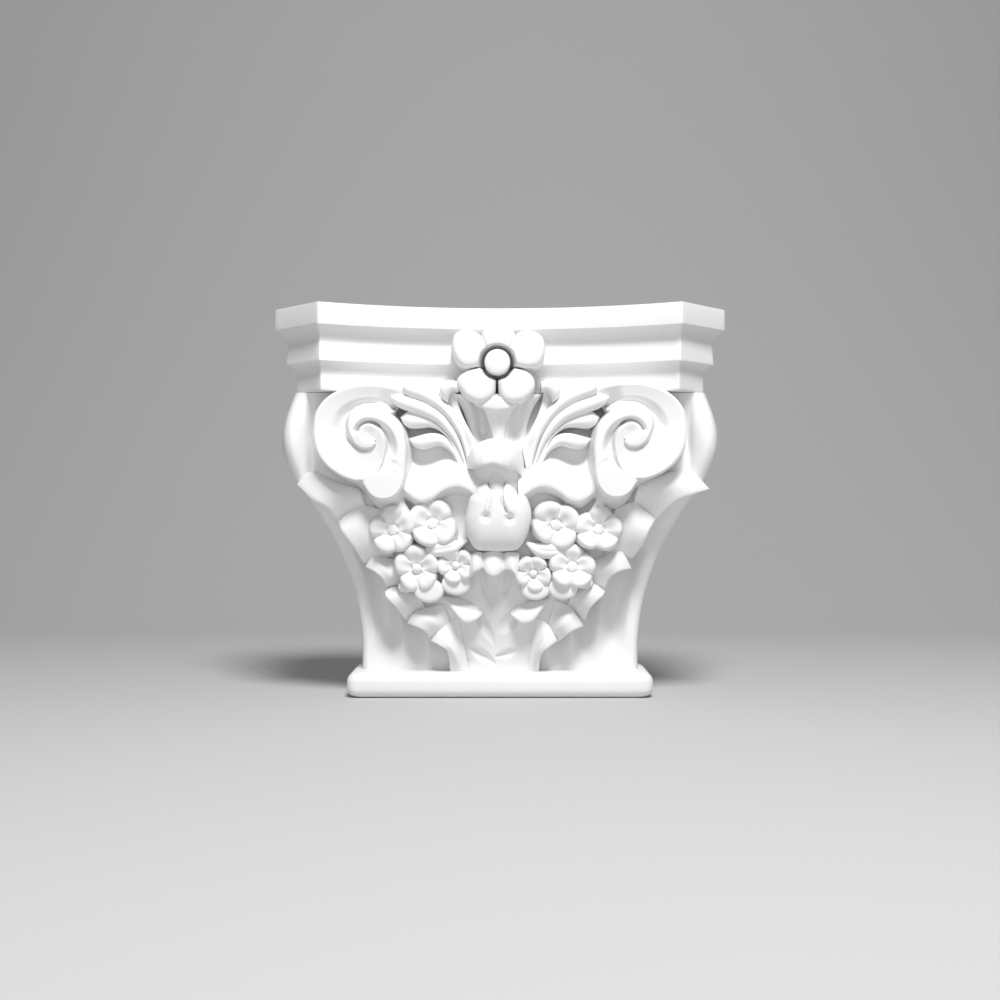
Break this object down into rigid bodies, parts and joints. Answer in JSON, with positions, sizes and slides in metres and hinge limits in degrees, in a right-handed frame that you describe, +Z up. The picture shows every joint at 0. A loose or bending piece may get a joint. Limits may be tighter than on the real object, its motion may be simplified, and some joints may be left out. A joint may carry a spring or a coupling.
{
  "type": "pilaster capital",
  "caption": "Pilaster capital with concave abacus, corner volutes, feathered leaves, flower clusters and fluted bell, cast in one piece to crown a flat pilaster.",
  "frame": {"origin": "middle of the underside at the wall plane: the foot of the flat back, centred left to right", "axes": "+X to the viewer's right, +Z up, +Y into the wall; the carved front faces -Y"},
  "size_m": [0.3, 0.095, 0.259],
  "materials": {
    "white_casting": "smooth matte white, factory primed"
  },
  "bodies": {
    "root": {"pilaster_capital": "white_casting"}
  },
  "joints": []
}
